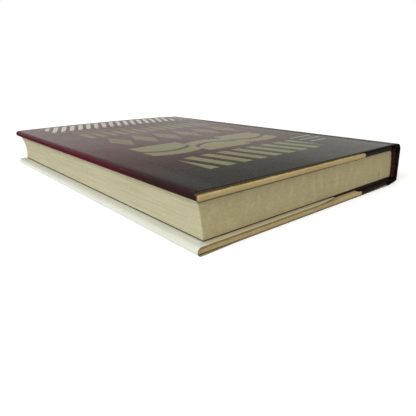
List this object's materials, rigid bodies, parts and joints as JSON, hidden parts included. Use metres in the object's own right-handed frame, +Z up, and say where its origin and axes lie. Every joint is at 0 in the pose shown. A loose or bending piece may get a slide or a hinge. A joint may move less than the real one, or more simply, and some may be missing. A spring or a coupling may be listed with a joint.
{
  "type": "hardback book",
  "caption": "Hardback book: text block in a quarter-cloth binding with paper sides and two hinged covers, in a printed paper jacket with tucked flaps.",
  "frame": {"origin": "middle of the underside, half way from the outside of the spine to the outside of the fore edge and half way from tail to head", "axes": "+X from the spine to the fore edge, +Y from the tail to the head, +Z up through the front cover"},
  "size_m": [0.16, 0.2354, 0.0258],
  "materials": {
    "pages": "uncoated, toned cream, trimmed edges",
    "endpaper": "uncoated, dark maroon",
    "mull": "open gauze, sized",
    "lining_paper": "brown kraft",
    "band_thread": "dark red and black cotton",
    "grey_board": "raw grey board",
    "book_cloth": "fine woven book cloth, dark brown",
    "cover_paper": "tan, laid, slightly rubbed",
    "jacket_front_print": "printed and gloss laminated, black to deep maroon",
    "jacket_back_print": "printed and gloss laminated, off-white"
  },
  "bodies": {
    "book_block": {"text_block": "pages", "front_flyleaf": "endpaper", "back_flyleaf": "endpaper", "spine_mull": "mull", "spine_lining": "lining_paper", "headband": "band_thread", "tailband": "band_thread", "spine_card": "grey_board", "spine_cloth": "book_cloth", "jacket_spine": "jacket_front_print"},
    "front_cover": {"front_board": "grey_board", "front_cloth": "book_cloth", "front_cover_paper": "cover_paper", "front_mull_tab": "mull", "front_pastedown": "endpaper", "front_jacket": "jacket_front_print"},
    "back_cover": {"back_board": "grey_board", "back_cloth": "book_cloth", "back_cover_paper": "cover_paper", "back_mull_tab": "mull", "back_pastedown": "endpaper", "back_jacket": "jacket_back_print"}
  },
  "joints": [
    {"name": "front_cover_hinge", "type": "hinge", "parent": "book_block", "child": "front_cover", "pos_m": [-0.07235, 0, 0.0258], "axis": [0, -1, 0], "range_deg": [0, 180]},
    {"name": "back_cover_hinge", "type": "hinge", "parent": "book_block", "child": "back_cover", "pos_m": [-0.07235, 0, 0], "axis": [0, 1, 0], "range_deg": [0, 180]}
  ]
}
